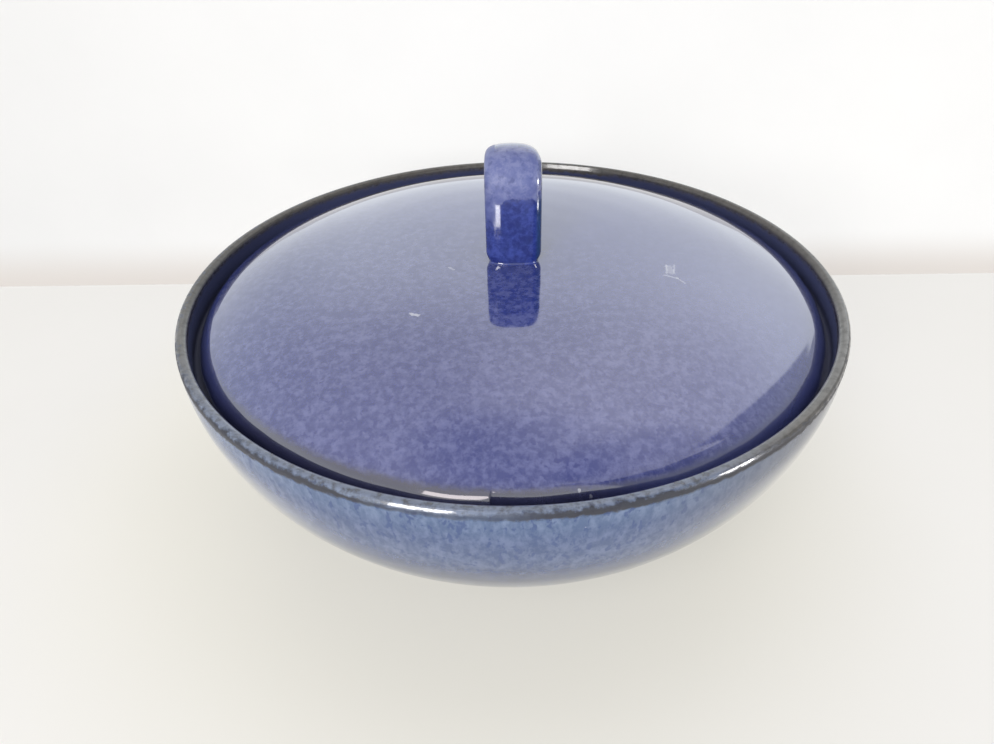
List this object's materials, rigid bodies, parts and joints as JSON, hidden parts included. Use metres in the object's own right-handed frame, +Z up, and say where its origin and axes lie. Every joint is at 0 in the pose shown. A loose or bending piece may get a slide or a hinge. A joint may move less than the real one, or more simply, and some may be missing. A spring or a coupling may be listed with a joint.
{
  "type": "lidded candy dish",
  "caption": "Round glazed stoneware candy dish with a deep bowl on a foot ring, and a domed drop-in lid with a strap loop handle.",
  "frame": {"origin": "centre of the foot ring on the surface it stands on", "axes": "+Z up along the turning axis of bowl and lid; the handle's loop stands in the YZ plane and its opening runs along X"},
  "size_m": [0.18, 0.18, 0.1059],
  "materials": {
    "bowl_glaze": "glossy mottled blue glaze, breaking to dark brown at the lip",
    "lid_glaze": "glossy mottled blue glaze",
    "handle_glaze": "glossy mottled blue glaze, thinner along the edges"
  },
  "bodies": {
    "bowl_body": {"bowl": "bowl_glaze"},
    "lid_body": {"lid": "lid_glaze", "lid_handle": "handle_glaze"}
  },
  "joints": [
    {"name": "lid_lift", "type": "slide", "parent": "bowl_body", "child": "lid_body", "axis": [0, 0, 1], "range_m": [0, 0.12]}
  ]
}
